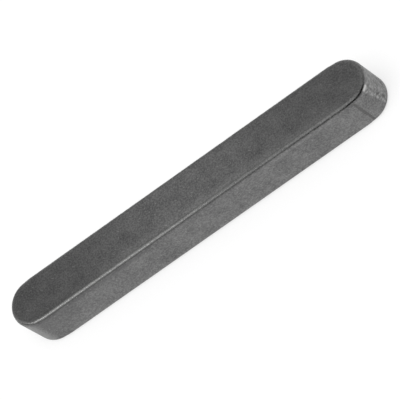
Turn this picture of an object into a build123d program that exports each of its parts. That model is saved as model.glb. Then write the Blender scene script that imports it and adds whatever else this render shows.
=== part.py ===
from build123d import *
from math import acos, atan2, cos, pi, radians, sin
import os

# A parallel key with two half-round ends, cut from square drawn bar steel.
# It lies in a shaft's keyway on its lower face and turns a hub with its flanks.
#
# Frame: the origin is the middle of the lower face, +X runs along the key,
# +Y points across it and +Z points from the shaft face up to the hub face.

# ---- driving sizes, in millimetres and degrees ----
width = 6.0             # across the two flanks, the fit in both keyways
height = 6.0            # from the shaft face up to the hub face
length = 50.0           # over the two half-round ends
edge_radius = 0.6       # tumbled rounding of every edge round both faces

end_relief = 0.09       # the milled half-round stays this far inside each flank
shoulder_length = 0.8   # the flank falls away this far before the half-round's centre
shoulder_blend = 2.0    # radius that softens the corner from flank to shoulder

mark_width = 0.36       # cutter mark on the shoulder of one end
mark_depth = 0.04       # how deep the cutter mark bites into the shoulder
mark_setback = 0.2      # from the half-round back to the mark, at mid height
mark_lean = 0.6         # the mark's upper end leans this much to the key's middle
mark_stop = 0.75        # the mark ends this far under the hub face

tolerance = 1e-6        # two places closer than this are the same place

# ---- sizes that follow ----
end_radius = width / 2 - end_relief
end_centre = length / 2 - end_radius

# A shoulder is a straight line from the flank's end that just touches the half-round.
# The angles are seen from the half-round's centre, from the direction of its tip.
flank_end = (end_centre - shoulder_length, width / 2)
flank_end_angle = atan2(width / 2, -shoulder_length)
flank_end_reach = width / 2 / sin(flank_end_angle)
touch_angle = flank_end_angle - acos(end_radius / flank_end_reach)
touch = (end_centre + end_radius * cos(touch_angle), end_radius * sin(touch_angle))
shoulder_fall = pi / 2 - touch_angle


# ---- the plan: what the key looks like from above ----
def quarter(point, end, side):
    """A point of the +X +Y quarter, moved to another quarter of the plan."""
    return (point[0] * end, point[1] * side)


def plan():
    """Two flanks, four shoulders and two half-rounds, as one closed outline."""
    with BuildSketch(Plane.XY) as outline:
        with BuildLine():
            for side in (1, -1):
                Line(quarter(flank_end, -1, side), quarter(flank_end, 1, side))
                for end in (1, -1):
                    Line(quarter(flank_end, end, side), quarter(touch, end, side))
            for end in (1, -1):
                tip = (end * length / 2, 0)
                ThreePointArc(quarter(touch, end, 1), tip, quarter(touch, end, -1))
        make_face()
        corners = [v for v in outline.vertices() if abs(v.Y) > width / 2 - tolerance]
        fillet(corners, shoulder_blend)
    return outline.sketch


# ---- the solid: the plan raised, then every edge rounded ----
def rims(body):
    """The edges that run round the shaft face and the hub face."""
    faces = body.faces().sort_by(Axis.Z)
    return faces[0].edges() + faces[-1].edges()


def blank():
    """The whole key but for the cutter mark."""
    body = extrude(plan(), height)
    return fillet(rims(body), edge_radius)


# ---- the cutter mark: a round-nosed groove down one shoulder ----
def cutter_mark():
    """The rod that the groove is cut with, on the near shoulder of the +X end.

    The rod's radius is the one whose shallow cut has the mark's width and depth.
    """
    rod_radius = (mark_width**2 / 4 + mark_depth**2) / (2 * mark_depth)
    to_tip = Vector(cos(shoulder_fall), sin(shoulder_fall), 0)
    outwards = Vector(sin(shoulder_fall), -cos(shoulder_fall), 0)
    up = Vector(0, 0, 1) * cos(radians(mark_lean)) - to_tip * sin(radians(mark_lean))

    surface = Vector(touch[0], -touch[1], height / 2) - to_tip * mark_setback
    middle = surface + outwards * (rod_radius - mark_depth)
    above = height / 2 - mark_stop
    below = height / 2 + mark_width

    rod_axis = Plane(origin=middle - up * below, x_dir=outwards, z_dir=up)
    rod = Cylinder(rod_radius, below + above, align=(Align.CENTER, Align.CENTER, Align.MIN))
    nose = Pos(0, 0, below + above) * Sphere(rod_radius)
    return rod_axis * (rod + nose)


key = blank() - cutter_mark()

os.makedirs("parts", exist_ok=True)
export_step(key, "parts/key.step")
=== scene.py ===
# %% [markdown]
# # A parallel key in dull drawn steel
# A parallel key is a short bar of steel that sits half in a shaft and half in a hub,
# so that one can't turn without the other. This lesson dresses one that was modelled
# in CAD at its real size, 6 mm square and 50 mm long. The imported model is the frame:
# it says where the key is and how big it is, and nothing here moves or resizes it.

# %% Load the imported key
import math
import random

import bmesh
import bpy
from mathutils import Matrix, Quaternion, Vector, noise
from mathutils.kdtree import KDTree


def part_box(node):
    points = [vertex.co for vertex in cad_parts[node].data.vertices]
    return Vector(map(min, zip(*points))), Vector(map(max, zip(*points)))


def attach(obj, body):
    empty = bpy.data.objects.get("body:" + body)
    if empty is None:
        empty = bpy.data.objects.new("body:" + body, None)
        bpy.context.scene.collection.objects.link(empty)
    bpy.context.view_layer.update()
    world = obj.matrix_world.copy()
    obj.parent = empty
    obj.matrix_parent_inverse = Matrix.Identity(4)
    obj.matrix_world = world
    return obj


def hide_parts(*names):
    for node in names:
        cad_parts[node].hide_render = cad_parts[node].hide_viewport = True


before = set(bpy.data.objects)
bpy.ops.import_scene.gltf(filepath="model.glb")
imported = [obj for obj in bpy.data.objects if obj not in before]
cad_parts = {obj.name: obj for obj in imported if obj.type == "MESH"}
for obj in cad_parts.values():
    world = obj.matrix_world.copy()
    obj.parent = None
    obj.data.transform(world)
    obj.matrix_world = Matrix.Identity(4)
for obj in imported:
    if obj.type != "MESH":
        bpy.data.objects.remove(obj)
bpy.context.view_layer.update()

# %% [markdown]
# ## The sizes that the box doesn't say
# The box gives the length, the width and the height. The rest are shop facts of such a
# key. Its edges are rounded all round, so that it slides into the keyway without shaving
# the corners: the bar was drawn with round corners, and tumbling has blended the ends to
# match. The half-round ends are milled after the bar is drawn. The cutter stays a hair
# inside the flanks, and the flank falls away to meet it over a short, nearly straight
# shoulder. I keep every size in metres, and write millimetres as a number times `MM`.

# %% Sizes of the section and of the ends
MM = 0.001
low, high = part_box("key")
half_length = (high.x - low.x) / 2
half_width = (high.y - low.y) / 2
height = high.z - low.z

edge_radius = 0.6 * MM
end_relief = 0.09 * MM
shoulder_length = 0.8 * MM
shoulder_blend = 2.0 * MM

end_radius = half_width - end_relief
end_centre = half_length - end_radius
print("half-round ends: radius", round(end_radius / MM, 3), "mm")

# %% [markdown]
# ## The plan, as a walk along one quarter
# Seen from above, the key is the same four times over, so one quarter is enough: from
# the middle of a flank to the tip of an end. A mesh made with a bevel modifier would
# give the shape too, but its faces would be long strips with nowhere to put a dent.
# Instead the walk stops every tenth of a millimetre, and more often on the short
# shoulder. Each stop is one column of the mesh. It knows its place, which way is
# outwards, and the point on the key's middle line that its column closes to.

# %% Where the shoulder meets the flank and the half-round
flank_end = end_centre - shoulder_length
reach = math.hypot(half_width, shoulder_length)
touch_angle = math.atan2(half_width, -shoulder_length) - math.acos(end_radius / reach)
shoulder_fall = math.pi / 2 - touch_angle
blend_reach = shoulder_blend * math.tan(shoulder_fall / 2)
touch = Vector((math.cos(touch_angle), math.sin(touch_angle))) * end_radius
touch.x += end_centre
print("shoulder falls away by", round(math.degrees(shoulder_fall), 2), "degrees")


# %% Walk one quarter
def steps(distance, stride):
    """How many equal steps of about one stride make up a distance."""
    return max(1, round(distance / stride))


def facing(angle):
    """The flat direction at an angle from +X."""
    return Vector((math.cos(angle), math.sin(angle)))


def quarter_walk(stride=0.1 * MM, shoulder_stride=0.04 * MM):
    """Stops from the middle of a flank to the tip: (place, outwards, middle point)."""
    stops = []
    flat = flank_end - blend_reach
    count = steps(flat, stride)
    for i in range(count):
        x = flat * i / count
        stops.append((Vector((x, half_width)), facing(math.pi / 2), Vector((x, 0))))

    corner = Vector((flat, half_width - shoulder_blend))
    blend_end = corner + facing(touch_angle) * shoulder_blend
    straight = (touch - blend_end).length
    blend_share = shoulder_blend * shoulder_fall / (shoulder_blend * shoulder_fall + straight)
    count = steps(straight / (1 - blend_share), shoulder_stride)
    for i in range(count):
        share = i / count
        middle = Vector((flat + (end_centre - flat) * share, 0))
        if share < blend_share:
            outwards = facing(math.pi / 2 - shoulder_fall * share / blend_share)
            stops.append((corner + outwards * shoulder_blend, outwards, middle))
        else:
            along = (share - blend_share) / (1 - blend_share)
            stops.append((blend_end.lerp(touch, along), facing(touch_angle), middle))

    count = steps(end_radius * touch_angle, stride)
    centre = Vector((end_centre, 0))
    for i in range(count + 1):
        outwards = facing(touch_angle * (1 - i / count))
        stops.append((centre + outwards * end_radius, outwards, centre))
    return stops


def flipped(stop, along, across):
    """The same stop in another quarter of the plan."""
    return tuple(Vector((v.x * along, v.y * across)) for v in stop)


quarter = quarter_walk()
columns = [flipped(s, 1, -1) for s in quarter]
columns += [flipped(s, 1, 1) for s in quarter[-2::-1]]
columns += [flipped(s, -1, 1) for s in quarter[1:]]
columns += [flipped(s, -1, -1) for s in quarter[-2:0:-1]]
print("columns round the plan:", len(columns))

# %% [markdown]
# ## The section, as rings from the lower face to the upper one
# Every column climbs the same section: out from the middle of the lower face, round the
# lower edge, up the side, round the upper edge and in again. An edge is a quarter of a
# circle and gets twelve steps, close enough for a highlight to roll over it. The flat
# faces need far fewer. A ring knows its height, how far inside the plan it lies, and how
# far it has closed towards the middle line.

# %% Rings of the upper half, from the key's waist to the middle of the upper face
face_reach = half_width - edge_radius


def upper_rings(side_stride=0.16 * MM, face_stride=0.3 * MM, edge_steps=12):
    """(height over the waist, inset, closing share) of each ring."""
    side = height / 2 - edge_radius
    count = steps(side, side_stride)
    rings = [(side * i / count, 0, 0) for i in range(count)]
    for step in range(edge_steps + 1):
        turn = math.pi / 2 * step / edge_steps
        climb = side + edge_radius * math.sin(turn)
        rings.append((climb, edge_radius * (1 - math.cos(turn)), 0))
    count = steps(face_reach, face_stride)
    rings += [(height / 2, edge_radius, i / count) for i in range(1, count + 1)]
    return rings


upper = upper_rings()
rings = [(height / 2 - rise, *rest) for rise, *rest in reversed(upper[1:])]
rings += [(height / 2 + rise, *rest) for rise, *rest in upper]
print("rings up the section:", len(rings))

# %% [markdown]
# ## Columns times rings
# With both lists ready the mesh is one grid, bent round the plan. The columns of a flat
# face end on the middle line, where two of them meet, and those of a half-round end on
# its centre, so one weld closes both faces with no hole and no double point.

# %% Build the closed skin of the key
def place_on(column, ring):
    """Where a column and a ring cross."""
    place, outwards, middle = column
    level, inset, closing = ring
    flat = (place - outwards * inset).lerp(middle, closing)
    return Vector((flat.x, flat.y, low.z + level))


def skin(name):
    """A closed mesh over all columns and rings, smooth shaded."""
    build = bmesh.new()
    grid = [[build.verts.new(place_on(column, ring)) for ring in rings] for column in columns]
    for here, there in zip(grid, grid[1:] + grid[:1]):
        for k in range(len(rings) - 1):
            build.faces.new((here[k], there[k], there[k + 1], here[k + 1]))
    bmesh.ops.remove_doubles(build, verts=build.verts, dist=0.001 * MM)
    for face in build.faces:
        face.smooth = True
    open_edges = sum(not edge.is_manifold for edge in build.edges)
    mesh = bpy.data.meshes.new(name)
    build.to_mesh(mesh)
    build.free()
    print("points:", len(mesh.vertices), "faces:", len(mesh.polygons), "open edges:", open_edges)
    return mesh


key_mesh = skin("key_skin")
key = bpy.data.objects.new("key_body", key_mesh)
bpy.context.scene.collection.objects.link(key)
key_mesh.update()
normals = [v.normal.copy() for v in key_mesh.vertices]

# %% [markdown]
# ## Where each point lies
# Wear depends on the place: edges are burnished, ends are milled, pits sit on the end.
# So each point first gets two coordinates that a fitter would use. The turn says how far
# round an edge it lies, from 0 degrees on a face to 90 on a side. The swing says how far
# round an end it lies, from 0 where the near flank stops to 90 at the tip.

# %% Two measures of a place on the skin
def smooth(x):
    """A soft step from 0 to 1 as x goes from 0 to 1."""
    x = min(max(x, 0.0), 1.0)
    return x * x * (3 - 2 * x)


def between(x, start, stop, fade):
    """1 from start to stop, fading to 0 outside them."""
    return smooth((x - start) / fade + 1) * smooth((stop - x) / fade + 1)


def edge_turn(point):
    """Degrees round the nearest edge: 0 on the upper or lower face, 90 on a side."""
    outside = abs(point.y)
    side = half_width
    if abs(point.x) > end_centre:
        outside = math.hypot(abs(point.x) - end_centre, point.y)
        side = end_radius
    outwards = max(outside - (side - edge_radius), 0)
    upwards = max(abs(point.z - low.z - height / 2) - (height / 2 - edge_radius), 0)
    if outwards == 0 and upwards == 0:
        return 0
    return math.degrees(math.atan2(outwards, upwards))


def end_swing(point):
    """Degrees round an end from the near flank: 90 at the tip, 180 at the far flank."""
    past = abs(point.x) - end_centre
    if past <= 0:
        return 0 if point.y < 0 else 180
    return math.degrees(math.atan2(past, -point.y))


turns = [edge_turn(v.co) for v in key_mesh.vertices]
swings = [end_swing(v.co) for v in key_mesh.vertices]
print("points on a rounded edge:", sum(5 < t < 85 for t in turns))

# %% [markdown]
# ## The cutter mark
# Where the milled end begins, the cutter has left a shallow groove across one shoulder.
# It is a real cut, a third of a millimetre wide, so a dark line painted on a flat face
# won't do: it has to catch the light on one wall and lose it on the other. The groove
# is what a rod would leave, pressed a twenty-fifth of a millimetre into the surface and
# standing almost upright. Every point inside that rod is pushed in until it lies on the
# rod's skin. How far a point went in also says how much darker its colour is made.

# %% Press the rod into the shoulder
mark_width = 0.36 * MM
mark_depth = 0.04 * MM
mark_setback = 0.2 * MM
mark_lean = math.radians(0.6)
mark_stop = 0.75 * MM
full_dark_depth = 0.15 * mark_depth

rod_radius = (mark_width ** 2 / 4 + mark_depth ** 2) / (2 * mark_depth)
to_tip = Vector((math.cos(shoulder_fall), math.sin(shoulder_fall), 0))
out_of_shoulder = Vector((math.sin(shoulder_fall), -math.cos(shoulder_fall), 0))
up_the_mark = Vector((0, 0, 1)) * math.cos(mark_lean) - to_tip * math.sin(mark_lean)
across_mark = up_the_mark.cross(out_of_shoulder)
mark_middle = Vector((touch.x, -touch.y, low.z + height / 2)) - to_tip * mark_setback
rod_middle = mark_middle + out_of_shoulder * (rod_radius - mark_depth)
rod_top = height / 2 - mark_stop


def press_depth(point):
    """How far the rod pushes a point of the shoulder in, and 0 outside the rod."""
    arm = point - rod_middle
    past_nose = max(arm.dot(up_the_mark) - rod_top, 0)
    room_left = rod_radius ** 2 - arm.dot(across_mark) ** 2 - past_nose ** 2
    if room_left <= 0:
        return 0.0
    return max(arm.dot(out_of_shoulder) + math.sqrt(room_left), 0.0)


mark = [0.0] * len(key_mesh.vertices)
for v in key_mesh.vertices:
    if (v.co - mark_middle).length < height and v.co.y < 0:
        depth = press_depth(v.co)
        v.co -= out_of_shoulder * depth
        mark[v.index] = smooth(depth / full_dark_depth)
print("points in the cutter mark:", sum(m > 0 for m in mark))

# %% [markdown]
# ## Relief: a tumbled skin, nicked edges and a pitted end
# Steel that has been tumbled with hundreds of others isn't flat. Its skin dips by a few
# thousandths of a millimetre, its edges are rounder here than there, and now and then
# another key has left a nick. On the +X end the cutter has torn small pits, some in four
# clusters and some strays. I move the points inwards along their normals by smooth
# noise, more on the edges than on the faces, and press in the nicks and pits one by one
# from a seeded list. A displace modifier could do the noise, but not know where an edge
# is. Nothing moves outwards, so the key keeps its size.

# %% Sink the skin by smooth noise
face_dip = 0.003 * MM
edge_dip = 0.008 * MM


def dip(point, turn):
    """How far a point lies under the ideal skin."""
    at = point / MM
    on_edge = between(turn, 20, 70, 20)
    skin_part = 1 + 0.6 * noise.noise(at * 1.3) + 0.4 * noise.noise(at * 2.9)
    edge_part = 1 + 0.6 * noise.noise(at * Vector((2.2, 2.2, 0.6))) + 0.4 * noise.noise(at * 5.0)
    return face_dip * skin_part + edge_dip * on_edge * edge_part


for v, turn in zip(key_mesh.vertices, turns):
    v.co -= normals[v.index] * dip(v.co, turn)
print("faces dip by up to", 2 * face_dip / MM, "mm, edges by up to", 2 * edge_dip / MM, "mm more")


# %% A map of the skin, to press dents into
places = KDTree(len(key_mesh.vertices))
for v in key_mesh.vertices:
    places.insert(v.co, v.index)
places.balance()
pit = [0.0] * len(key_mesh.vertices)
print("the map holds", len(pit), "points")


def press(centre, radius, depth, darkens):
    """A round dent about a place on the skin, and how much it darkens."""
    for _, index, distance in places.find_range(centre, radius):
        weight = (1 - (distance / radius) ** 2) ** 2
        key_mesh.vertices[index].co -= normals[index] * depth * weight
        pit[index] = max(pit[index], darkens * weight)


def on_upper_edge(x, side):
    """A place halfway round the upper edge of a flank."""
    inset = edge_radius * (1 - math.sqrt(0.5))
    return Vector((x, side * (half_width - inset), high.z - inset))


def on_round_end(swing, rise):
    """A place on the +X half-round, at a swing and a height over the lower face."""
    outwards = facing(math.radians(swing - 90)) * end_radius
    return Vector((end_centre + outwards.x, outwards.y, low.z + rise))


# %% Press in the nicks and the pits
nick_count = 110
pit_clusters = ((56, 2.7), (54, 1.2), (73, 3.3), (88, 2.2))
pits_a_cluster = 6
stray_pits = 24
shop = random.Random(12)


def draw_dent(radii, depths):
    """Radius and depth of one dent, each drawn between two limits in millimetres."""
    radius = shop.uniform(*radii) * MM
    return radius, shop.uniform(*depths) * MM


for _ in range(nick_count):
    spot = on_upper_edge(shop.uniform(-1, 1) * flank_end, shop.choice((-1, 1)))
    press(spot, *draw_dent((0.14, 0.3), (0.004, 0.014)), 0)
for swing, rise in pit_clusters:
    for _ in range(pits_a_cluster):
        spot = on_round_end(shop.gauss(swing, 2.5), (rise + shop.gauss(0, 0.3)) * MM)
        press(spot, *draw_dent((0.1, 0.24), (0.006, 0.018)), shop.uniform(0.5, 0.95))
for _ in range(stray_pits):
    spot = on_round_end(shop.uniform(10, 110), shop.uniform(0.9, 5.0) * MM)
    press(spot, *draw_dent((0.12, 0.3), (0.003, 0.01)), shop.uniform(0.1, 0.5))
print("points in a pit:", sum(p > 0.1 for p in pit))

# %% [markdown]
# ## Where the steel is rubbed, with painted highlight and sheen
# Tumbling has left all the edges smoother than the faces. Handling has rubbed the near
# ones clean as well, and their lighter colour is also a painted highlight along the band
# where the near softbox is mirrored: fully on the -X half of the bar, half as much on the
# +X half, and less and less round the ends. Beside those edges a faint painted sheen
# lightens the upper face, high and low on the flank, and next to the cutter mark. A mask
# made from the sharpness of edges would treat them all alike. So each of these is a rule
# instead, which gives every point a share from 0 to 1. It goes by the point's turn and
# swing, by x in millimetres from the middle of the bar, and by the point's fall, in
# millimetres below the upper face.

# %% Rules for the edges, their painted highlight and the painted sheen beside them
def fall_of(point):
    """Millimetres below the upper face."""
    return (high.z - point.z) / MM


def polished_edge(turn):
    """How smooth the round of an edge has been tumbled."""
    return between(turn, 25, 58, 12)


def rubbed_edge_and_highlight(point, turn, swing):
    """How far the near edges are rubbed clean and painted with a highlight: less on +X, least round
    the ends.
    """
    if point.y > 0:
        return 0.0
    x = point.x / MM
    # Painted highlight: a lighter band round the near edge where the lamp's line falls, stronger
    # towards -X, with a second band lower down near +X.
    strong_end_share = smooth((6 - x) / 12)
    line = between(turn, 24 + 4 * strong_end_share, 38 + 4 * strong_end_share, 14)
    lower_line = between(turn, 46, 54, 9) * smooth((x - 16) / 6.5)
    last_swing = 40 if x > 0 else 35
    around = 1 - smooth(swing / last_swing)
    return max((0.5 + 0.5 * strong_end_share) * line, 0.5 * lower_line) * around


def painted_sheen(point):
    """A fainter painted sheen beside the near edges and beside the cutter mark."""
    shine_starts = 1.3
    past_start = -point.y / MM - shine_starts
    if past_start < 0:
        return 0.0
    x = point.x / MM
    fall = fall_of(point)
    # Painted sheen: on the upper face beside the edge, high and low on the flank, and by the mark.
    if fall <= 0.1:
        return 0.2 * between(x, -11, 19, 4) * smooth(past_start / 1.1)
    high_on_flank = between(x, 8, 17, 3) * between(fall, 0.5, 0.75, 0.25)
    low_on_flank = between(x, -17, 8, 4) * smooth((fall - 5.05) / 0.3)
    past_mark = between(x, 22.3, 22.8, 0.4) * between(fall, 0.5, 0.9, 0.25)
    beside_mark = between(x, 20.6, 22.9, 0.5) * smooth((fall - 3.2) / 1.4)
    return max(0.14 * high_on_flank, 0.12 * low_on_flank, 0.14 * past_mark, 0.13 * beside_mark)


# %% [markdown]
# ## The lighter ends, a bright spot and a painted dark line
# The last pass of the cutter has left the +X end lighter. It begins at a sharp border
# that leans a little, and right above that border the edge has a small bright spot. The
# -X end is made lighter too, coming up slowly round from the near flank, with no border
# to see. Under the near edge a thin dark band is a painted reflection, beside the bright
# line. It hangs lowest near the -X end and stands as a dark drop at the +X bend. The -X
# end's near corner is made darker as well.

# %% Rules for the lighter ends, the bright spot and the painted dark line
def lighter_end(turn, swing, border, softness, fading):
    """How much lighter an end is made, from a border on and past the tip."""
    past_border = swing - border
    strength = 0.8 * smooth(past_border / softness)
    strength *= 1 - fading * smooth((past_border - softness - 1) / 18)
    return strength * smooth((118 - swing) / 25) * smooth((turn - 60) / 20)


def sharp_pass(point, turn, swing):
    """The pass on the +X end, behind a sharp border that leans with the fall."""
    if point.x < end_centre:
        return 0.0
    return lighter_end(turn, swing, border=33 + 2.1 * fall_of(point), softness=4, fading=0.3)


def soft_lightening(point, turn, swing):
    """The -X end made lighter, coming up slowly round from the near flank and faint at the tip."""
    if point.x > -end_centre:
        return 0.0
    return lighter_end(turn, swing, border=12, softness=22, fading=0.75)


def small_bright_spot(point, swing):
    """A small bright spot low on the edge, above the border of the sharp pass."""
    if point.x < end_centre:
        return 0.0
    return between(swing, 39, 50.5, 4) * between(fall_of(point), 0.44, 0.68, 0.14)


def dark_reflection_and_corner(point, swing):
    """A painted dark reflection under the near edge, lowest on -X, with a drop at the +X bend, and
    a darker -X corner.
    """
    if point.y > 0:
        return 0.0
    x = point.x / MM
    fall = fall_of(point)
    hangs = 1 - smooth((x + 9) / 3)
    under_edge = smooth((fall - 0.12) / 0.1)
    run_out = 1 - smooth((fall - 0.42 - 0.3 * hangs) / (0.15 + 0.3 * hangs))
    # Painted dark reflection: a dark band under the near edge, beside the bright line.
    dark_band = (0.25 + 0.25 * hangs) * (1 - smooth((x - 6) / 4)) * under_edge * run_out
    if x > 0:
        # A painted dark drop at the +X bend.
        drop = between(swing, 24, 34, 8) * between(fall, 0.26, 0.42, 0.08)
        return max(dark_band, 0.9 * drop)
    dark_band *= 1 - smooth((swing - 14) / 26)
    # The -X near corner is made darker over the upper flank.
    veil = 0.38 * smooth((5 - fall) / 4) + 0.25 * smooth((1 - fall) / 0.6)
    corner = smooth((-x - 17) / 4) * veil * under_edge
    return max(dark_band, corner * (1 - smooth((swing - 4) / 20)))


# %% Work the rules out and keep them as attributes
skin_places = [(v.co.copy(), turns[v.index], swings[v.index]) for v in key_mesh.vertices]
measures = {
    "polish": [polished_edge(t) for _, t, _ in skin_places],
    # Rubbed edges with their painted highlight, and the painted sheen beside them.
    "rubbed_highlight_and_sheen": [max(rubbed_edge_and_highlight(p, t, s), painted_sheen(p)) for p, t, s in skin_places],
    "sharp_pass": [sharp_pass(p, t, s) for p, t, s in skin_places],
    "soft_lightening": [soft_lightening(p, t, s) for p, t, s in skin_places],
    "bright_spot": [small_bright_spot(p, s) for p, _, s in skin_places],
    "dark_reflection_and_corner": [dark_reflection_and_corner(p, s) for p, _, s in skin_places],
    "mark": mark,
    "pit": pit,
}
for label, values in measures.items():
    layer = key_mesh.attributes.new(label, "FLOAT", "POINT")
    layer.data.foreach_set("value", values)
    print(label, "is over 0.1 on", sum(x > 0.1 for x in values), "points")
key_mesh.update()

# %% [markdown]
# ## Node groups for the finish
# Dull drawn steel under a thin film of oil is a dark, nearly neutral grey. It has a
# felt-like speckle of about a fifth of a millimetre, faint clouds of a few millimetres,
# and a sprinkle of tiny bright flecks, some of them drawn out to short slanting hairs.
# The speckle, the clouds and the mottle of the milled ends are one effect at three
# sizes, so they share one node group, "patches". The flecks get a group of their own.
# Both read a place in millimetres, so the same numbers mean the same size on any object.

# %% Helpers that make a group and its nodes
def new_group(name, inputs, output):
    """An empty node group: (tree, its input node's outputs, its output socket)."""
    tree = bpy.data.node_groups.new(name, "ShaderNodeTree")
    for label, kind, value in inputs:
        socket = tree.interface.new_socket(label, in_out="INPUT", socket_type=kind)
        if value is not None:
            socket.default_value = value
    tree.interface.new_socket(output, in_out="OUTPUT", socket_type="NodeSocketFloat")
    start = tree.nodes.new("NodeGroupInput")
    end = tree.nodes.new("NodeGroupOutput")
    return tree, start.outputs, end.inputs[output]


def put(tree, socket, value):
    """Link a socket, or set it to a plain value."""
    if isinstance(value, bpy.types.NodeSocket):
        tree.links.new(value, socket)
    elif socket.type == "RGBA":
        socket.default_value = (*value, 1)
    else:
        socket.default_value = value


def calculate(tree, operation, first, second):
    """One step of arithmetic."""
    node = tree.nodes.new("ShaderNodeMath")
    node.operation = operation
    put(tree, node.inputs[0], first)
    put(tree, node.inputs[1], second)
    return node.outputs[0]


def stretch(tree, value, low_end, high_end):
    """A value pulled out so that low_end becomes 0 and high_end becomes 1."""
    node = tree.nodes.new("ShaderNodeMapRange")
    put(tree, node.inputs["Value"], value)
    put(tree, node.inputs["From Min"], low_end)
    put(tree, node.inputs["From Max"], high_end)
    return node.outputs["Result"]


# %% Patches: soft-edged spots of one size
def patches_group():
    """Noise stretched to a mask, with its size given as spots per millimetre."""
    tree, given, result = new_group(
        "patches",
        (
            ("Place", "NodeSocketVector", None),
            ("Spots per mm", "NodeSocketFloat", 1.0),
            ("Detail", "NodeSocketFloat", 1.0),
            ("Darkest at", "NodeSocketFloat", 0.35),
            ("Lightest at", "NodeSocketFloat", 0.65),
        ),
        "Amount",
    )
    spots = tree.nodes.new("ShaderNodeTexNoise")
    tree.links.new(given["Place"], spots.inputs["Vector"])
    tree.links.new(given["Spots per mm"], spots.inputs["Scale"])
    tree.links.new(given["Detail"], spots.inputs["Detail"])
    amount = stretch(tree, spots.outputs["Fac"], given["Darkest at"], given["Lightest at"])
    tree.links.new(amount, result)
    return tree


patches = patches_group()
print("group", patches.name, "takes", [s.name for s in patches.interface.items_tree][1:])


# %% Flecks: a sparse sprinkle of small sharp dots
def flecks_group():
    """The cores of a few cells, picked by the cells' own random shade."""
    tree, given, result = new_group(
        "flecks",
        (
            ("Place", "NodeSocketVector", None),
            ("Cells per mm", "NodeSocketFloat", 2.0),
            ("Core", "NodeSocketFloat", 0.12),
            ("Rarity", "NodeSocketFloat", 0.6),
        ),
        "Amount",
    )
    cells = tree.nodes.new("ShaderNodeTexVoronoi")
    tree.links.new(given["Place"], cells.inputs["Vector"])
    tree.links.new(given["Cells per mm"], cells.inputs["Scale"])
    shade = tree.nodes.new("ShaderNodeSeparateColor")
    tree.links.new(cells.outputs["Color"], shade.inputs["Color"])
    core = calculate(tree, "LESS_THAN", cells.outputs["Distance"], given["Core"])
    chosen = calculate(tree, "GREATER_THAN", shade.outputs["Red"], given["Rarity"])
    tree.links.new(calculate(tree, "MULTIPLY", core, chosen), result)
    return tree


flecks = flecks_group()
print("group", flecks.name, "takes", [s.name for s in flecks.interface.items_tree][1:])


# %% Helpers that place a group and blend what comes out
def use_group(tree, group, **values):
    """Place a group in a material and set or link its named inputs."""
    node = tree.nodes.new("ShaderNodeGroup")
    node.node_tree = group
    for label, value in values.items():
        put(tree, node.inputs[label.replace("_", " ")], value)
    return node.outputs["Amount"]


def read(tree, label):
    """One of the measures kept on the points."""
    node = tree.nodes.new("ShaderNodeAttribute")
    node.attribute_name = label
    return node.outputs["Fac"]


def blend_colours(tree, share, first, second):
    """The first colour where share is 0, the second where it is 1."""
    node = tree.nodes.new("ShaderNodeMix")
    node.data_type = "RGBA"
    put(tree, node.inputs["Factor"], share)
    put(tree, node.inputs[6], first)
    put(tree, node.inputs[7], second)
    return node.outputs[2]


def blend_numbers(tree, share, first, second):
    """The same for plain numbers."""
    node = tree.nodes.new("ShaderNodeMix")
    put(tree, node.inputs["Factor"], share)
    put(tree, node.inputs[2], first)
    put(tree, node.inputs[3], second)
    return node.outputs[0]


def squeeze(tree, vector, factors):
    """A vector with each part multiplied by its own factor."""
    node = tree.nodes.new("ShaderNodeVectorMath")
    node.operation = "MULTIPLY"
    tree.links.new(vector, node.inputs[0])
    node.inputs[1].default_value = factors
    return node.outputs[0]


# %% [markdown]
# ## The grain of the steel
# The grain is built in layers of different sizes, because one noise alone looks like
# paint. Speckle and clouds are mixed into one value, and dots and hairs are laid over
# it. The hairs are the same flecks, read from a place that is turned and drawn out, so
# they all lie at one slant. The mottle is for the milled ends, where the cutter has
# smeared and torn the steel.

# %% Grain, bright flecks and mottle
hair_slant = math.radians(36)
hair_stretch = (0.3, 1.4, 1.4)
cloud_share = 0.32


def steel_grain(tree):
    """(speckle, speckle mixed with clouds, bright flecks, mottle), each from 0 to 1."""
    here = tree.nodes.new("ShaderNodeTexCoord").outputs["Object"]
    place = squeeze(tree, here, (1 / MM, 1 / MM, 1 / MM))
    turned = tree.nodes.new("ShaderNodeVectorRotate")
    turned.rotation_type = "Z_AXIS"
    tree.links.new(place, turned.inputs["Vector"])
    turned.inputs["Angle"].default_value = hair_slant
    slanting = squeeze(tree, turned.outputs[0], hair_stretch)

    speckle = use_group(tree, patches, Place=place, Spots_per_mm=5.2, Detail=2.0)
    clouds = use_group(tree, patches, Place=place, Spots_per_mm=0.5, Detail=4.0)
    dots = use_group(tree, flecks, Place=place, Cells_per_mm=2.6, Core=0.17, Rarity=0.74)
    hairs = use_group(tree, flecks, Place=slanting, Cells_per_mm=2.6, Core=0.16, Rarity=0.8)
    mottle = use_group(
        tree, patches, Place=place, Spots_per_mm=3.0, Detail=5.0, Darkest_at=0.43, Lightest_at=0.63
    )
    cloudy = blend_numbers(tree, cloud_share, speckle, clouds)
    return speckle, cloudy, calculate(tree, "MAXIMUM", dots, hairs), mottle


# %% [markdown]
# ## The steel itself
# Bare steel is a metal, so its colour is the tint of what it mirrors. A polished bar
# would be near 0.55. This one is oxidised and oiled, so its greys lie between 0.12 and
# 0.24. Oxide also takes the glare off at a glancing angle, and a Specular Tint under 1
# does the same. Over the grain are laid, from the faintest to the strongest: the painted
# dark reflection under the near edge and the darker -X corner, flecks, the lighter ends,
# the rubbed edges with their painted highlight and sheen, darkening in the mark and the
# pits, and the bright spot last. An edge is tumbled smooth, so that it gathers a lamp
# into a thin line. The mark and the pits are also rougher, so that they stay dark.

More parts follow.
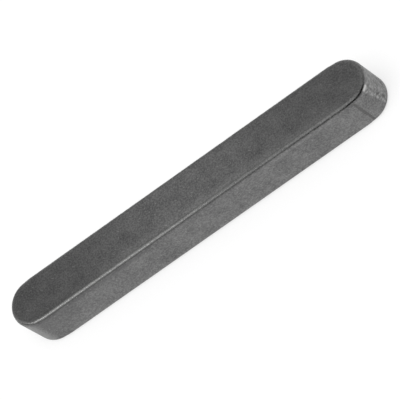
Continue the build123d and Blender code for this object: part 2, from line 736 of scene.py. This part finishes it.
# %% Colours and roughness of the steel
dark_steel = (0.116, 0.116, 0.117)
light_steel = (0.236, 0.236, 0.234)
dark_reflection_and_corner_colour = (0.11, 0.11, 0.111)
fleck_steel = (0.42, 0.42, 0.41)
lighter_end_steel = (0.4, 0.4, 0.397)
rubbed_highlight_sheen_steel = (0.42, 0.42, 0.415)
bright_spot_steel = (0.54, 0.54, 0.53)
hollow_dark_colour = (0.06, 0.058, 0.056)

fleck_strength = 0.45
mark_darkening = 0.41
dull_roughness = 0.4
shinier_roughness = 0.34
tumbled_roughness = 0.2
hollow_roughness = 0.6


def steel_colour(tree, speckle, cloudy, bright, mottle, hollow_darkening):
    """The grain of the steel with every trace, painted light and painted shade laid over it."""
    colour = blend_colours(tree, cloudy, dark_steel, light_steel)
    # Painted dark reflection under the near edge, and a darker -X corner.
    colour = blend_colours(tree, read(tree, "dark_reflection_and_corner"), colour, dark_reflection_and_corner_colour)
    flecked = calculate(tree, "MULTIPLY", bright, fleck_strength)
    colour = blend_colours(tree, flecked, colour, fleck_steel)

    sharp = calculate(tree, "MULTIPLY", read(tree, "sharp_pass"), mottle)
    calmer_mottle = blend_numbers(tree, mottle, 0.37, 0.66)
    soft = calculate(tree, "MULTIPLY", read(tree, "soft_lightening"), calmer_mottle)
    lighter_ends = calculate(tree, "MAXIMUM", sharp, soft)
    colour = blend_colours(tree, lighter_ends, colour, lighter_end_steel)

    # Rubbed edges, painted highlight and painted sheen all lighten the colour here.
    uneven = blend_numbers(tree, speckle, 0.75, 1.25)
    rubbed_highlight_and_sheen = calculate(tree, "MULTIPLY", read(tree, "rubbed_highlight_and_sheen"), uneven)
    colour = blend_colours(tree, rubbed_highlight_and_sheen, colour, rubbed_highlight_sheen_steel)
    colour = blend_colours(tree, hollow_darkening, colour, hollow_dark_colour)
    return blend_colours(tree, read(tree, "bright_spot"), colour, bright_spot_steel)


def steel_roughness(tree, speckle, hollow_darkening):
    """Duller in the dark specks, smooth on the edges and rough in the mark and the pits."""
    faces = blend_numbers(tree, speckle, dull_roughness, shinier_roughness)
    tumbled = blend_numbers(tree, read(tree, "polish"), faces, tumbled_roughness)
    return blend_numbers(tree, hollow_darkening, tumbled, hollow_roughness)


# %% Build the steel and put it on the key
def key_steel():
    """Dull drawn steel with smooth edges, lighter ends, a dark mark, a few pits, and painted
    highlight, sheen and dark reflection.
    """
    material = bpy.data.materials.new("key_steel")
    material.use_nodes = True
    tree = material.node_tree
    shader = tree.nodes["Principled BSDF"]
    shader.inputs["Metallic"].default_value = 1.0
    shader.inputs["Specular Tint"].default_value = (0.75, 0.75, 0.75, 1)

    speckle, cloudy, bright, mottle = steel_grain(tree)
    # The mark and the pits are made darker, more where they are deeper.
    dark_mark = calculate(tree, "MULTIPLY", read(tree, "mark"), mark_darkening)
    hollow_darkening = calculate(tree, "MAXIMUM", dark_mark, read(tree, "pit"))
    colour = steel_colour(tree, speckle, cloudy, bright, mottle, hollow_darkening)
    tree.links.new(colour, shader.inputs["Base Color"])
    tree.links.new(steel_roughness(tree, speckle, hollow_darkening), shader.inputs["Roughness"])

    bump = tree.nodes.new("ShaderNodeBump")
    bump.inputs["Strength"].default_value = 0.35
    bump.inputs["Distance"].default_value = 0.01 * MM
    tree.links.new(speckle, bump.inputs["Height"])
    tree.links.new(bump.outputs["Normal"], shader.inputs["Normal"])
    return material


key_mesh.materials.append(key_steel())
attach(key, "root")
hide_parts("key")
print("steel nodes:", len(key_mesh.materials[0].node_tree.nodes))

# %% [markdown]
# ## The paper
# A small steel part is shown on plain white paper. The paper is the most important light
# of all for the flanks: they stand upright under a camera that looks down, so the paper
# is what they mirror. White paper in a studio comes out as the white of the page, so
# part of its brightness is its own glow, which only the camera and mirrors see. The rest
# is lit by the lamps, and keeps the key's soft shadow.

# %% Lay the paper under the key
def white_paper(colour=(0.93, 0.93, 0.93), glow=0.65):
    """Matt paper that shows its whiteness to the camera and to mirrors."""
    material = bpy.data.materials.new("white_paper")
    material.use_nodes = True
    tree = material.node_tree
    shader = tree.nodes["Principled BSDF"]
    shader.inputs["Base Color"].default_value = (*colour, 1)
    shader.inputs["Roughness"].default_value = 0.9
    shader.inputs["Specular IOR Level"].default_value = 0.1

    light_path = tree.nodes.new("ShaderNodeLightPath").outputs
    seen = calculate(tree, "MAXIMUM", light_path["Is Camera Ray"], light_path["Is Glossy Ray"])
    seen = calculate(tree, "MAXIMUM", seen, light_path["Is Transmission Ray"])
    white = tree.nodes.new("ShaderNodeEmission")
    both = tree.nodes.new("ShaderNodeMixShader")
    tree.links.new(calculate(tree, "MULTIPLY", seen, glow), both.inputs[0])
    tree.links.new(shader.outputs[0], both.inputs[1])
    tree.links.new(white.outputs[0], both.inputs[2])
    tree.links.new(both.outputs[0], tree.nodes["Material Output"].inputs["Surface"])
    return material


bpy.ops.mesh.primitive_plane_add(size=1.2, location=(0, 0, low.z))
paper = bpy.context.object
paper.name = "paper"
paper.data.materials.append(white_paper())
print("paper:", [round(side, 2) for side in paper.dimensions])

# %% [markdown]
# ## The room
# Everything over the paper is mirrored in the upper face and the rounded edges, so the
# room decides how dark they look. It is a middling grey with three patches: a slightly
# paler wall behind the key, a bright window low off the -X end, which that end mirrors,
# and a dim part high up behind the key, which is where the upper face looks. Such
# patches are easiest to say as round spots on the sky: where the middle is, how far it
# reaches, how wide its even core is, and how bright it is.

# %% A helper for directions, and the world
def direction(azimuth, elevation):
    """The way to a place in the room: azimuth 0 is the near side, 90 is +X."""
    around, up = math.radians(azimuth), math.radians(elevation)
    return Vector((math.sin(around) * math.cos(up), -math.cos(around) * math.cos(up), math.sin(up)))


def room(grey, patches_of_sky):
    """A grey room with soft round patches of other greys on its walls and ceiling."""
    world = bpy.data.worlds.new("room")
    world.use_nodes = True
    tree = world.node_tree
    way = tree.nodes.new("ShaderNodeTexCoord").outputs["Generated"]
    for middle, reach, core, patch_grey in patches_of_sky:
        towards = tree.nodes.new("ShaderNodeVectorMath")
        towards.operation = "DOT_PRODUCT"
        tree.links.new(way, towards.inputs[0])
        towards.inputs[1].default_value = direction(*middle)
        rim, heart = math.cos(math.radians(reach)), math.cos(math.radians(core))
        share = stretch(tree, towards.outputs["Value"], rim, heart)
        grey = blend_numbers(tree, share, grey, patch_grey)
    tree.links.new(grey, tree.nodes["Background"].inputs["Color"])
    return world


pale_wall = ((160, 30), 62, 15, 0.62)
bright_window = ((-94, 28), 24, 4, 1.0)
dim_ceiling = ((220, 54), 32, 10, 0.36)
bpy.context.scene.world = room(0.55, (pale_wall, bright_window, dim_ceiling))
print("upper face mirrors a grey of", dim_ceiling[-1], "and the -X end one of", bright_window[-1])

# %% [markdown]
# ## The dark card
# A round edge that mirrors only pale things looks flat. A studio stands a black card
# beside the lens, low and close to the part, so that its mirror image draws a dark line
# along the edge. The card here faces the near corner of the +X end, where the line is
# blackest, and the line fades slowly towards the other end. The card is kept out of
# sight: mirrors see it, but the camera doesn't, and it throws no shadow.

# %% Stand the card on the paper
def black_card(azimuth, distance, width, tall):
    """An upright card that faces the near corner of the +X end."""
    material = bpy.data.materials.new("black_card")
    material.use_nodes = True
    shader = material.node_tree.nodes["Principled BSDF"]
    shader.inputs["Base Color"].default_value = (0.09, 0.09, 0.09, 1)
    shader.inputs["Roughness"].default_value = 1.0
    shader.inputs["Specular IOR Level"].default_value = 0.0
    foot = Vector((end_centre, -half_width, low.z)) + direction(azimuth, 0) * distance
    bpy.ops.mesh.primitive_plane_add(size=1, location=foot + Vector((0, 0, tall / 2)))
    card = bpy.context.object
    card.name = "black_card"
    card.dimensions = (width, tall, 0)
    card.rotation_euler = (math.pi / 2, 0, math.radians(azimuth))
    card.data.materials.append(material)
    card.visible_camera = False
    card.visible_diffuse = False
    card.visible_shadow = False
    return card


card = black_card(azimuth=27, distance=43 * MM, width=86 * MM, tall=40 * MM)
print("card at", [round(c / MM) for c in card.location], "mm")

# %% [markdown]
# ## The lamps
# Three lamps are enough. The near softbox is a long, narrow one that hangs on the left,
# from high over the near side to lower down off the -X end. Its mirror image is the thin
# bright line along the near upper edge, which wraps round that end. A small lamp, close
# to the key and high behind it, is what the middle of the upper face mirrors, so the
# face is darker towards both ends, which look past it. A wide softbox high over the near
# side lights the paper. Steel would mirror it as a broad grey bar beside the thin line.
# A studio would screen it off, and here it is simply hidden from mirrors.

# %% Three softboxes
def softbox(name, start, stop, distance, width, level, mirrored=True):
    """A lamp stretched between two directions, level times as bright as white paper."""
    first, last = direction(*start) * distance, direction(*stop) * distance
    along = (last - first).normalized()
    away = ((first + last) / 2).normalized()
    light = bpy.data.lights.new(name, "AREA")
    light.shape = "RECTANGLE"
    light.size = (last - first).length
    light.size_y = width
    light.energy = level * math.pi * light.size * light.size_y
    lamp = bpy.data.objects.new(name, light)
    turned = Matrix((along, away.cross(along), away)).transposed().to_4x4()
    lamp.matrix_world = Matrix.Translation((first + last) / 2) @ turned
    lamp.visible_camera = False
    lamp.visible_glossy = mirrored
    bpy.context.scene.collection.objects.link(lamp)
    print(name, "sends", round(light.energy * 1000, 1), "milliwatts")


softbox("near_softbox", (-27, 47.5), (-79, 28), 0.6, 0.065, 1.5)
softbox("far_lamp", (201, 44), (222, 70), 0.09, 0.012, 1.05)
softbox("overhead_softbox", (65, 58), (-65, 58), 0.85, 0.6, 3.0, mirrored=False)

# %% [markdown]
# ## Camera
# The view is a long lens from nearly half a metre away, so the far end of the key looks
# hardly smaller than the near end. The camera stands to the right and well above, and
# is rolled until the key runs from the lower left to the upper right.

# %% Stand the camera
camera_azimuth = 27.57
camera_elevation = 52.69
camera_roll = -57.71
camera_distance = 0.42866
lens_mm = 343.2
aim_offset = Vector((0.394, 0.04, 0)) * MM


def stand_camera(aim):
    """A camera that looks at a point from its angles, then rolls about its own axis."""
    away = direction(camera_azimuth, camera_elevation)
    lens = bpy.data.cameras.new("camera")
    lens.sensor_width = 36
    lens.lens = lens_mm
    camera = bpy.data.objects.new("camera", lens)
    camera.location = aim + away * camera_distance
    camera.rotation_mode = "QUATERNION"
    level = (-away).to_track_quat("-Z", "Y")
    camera.rotation_quaternion = level @ Quaternion((0, 0, 1), math.radians(camera_roll))
    bpy.context.scene.collection.objects.link(camera)
    return camera


scene = bpy.context.scene
scene.camera = stand_camera((low + high) / 2 + aim_offset)
scene.view_settings.view_transform = "Standard"
print("camera at", [round(c, 3) for c in scene.camera.location])
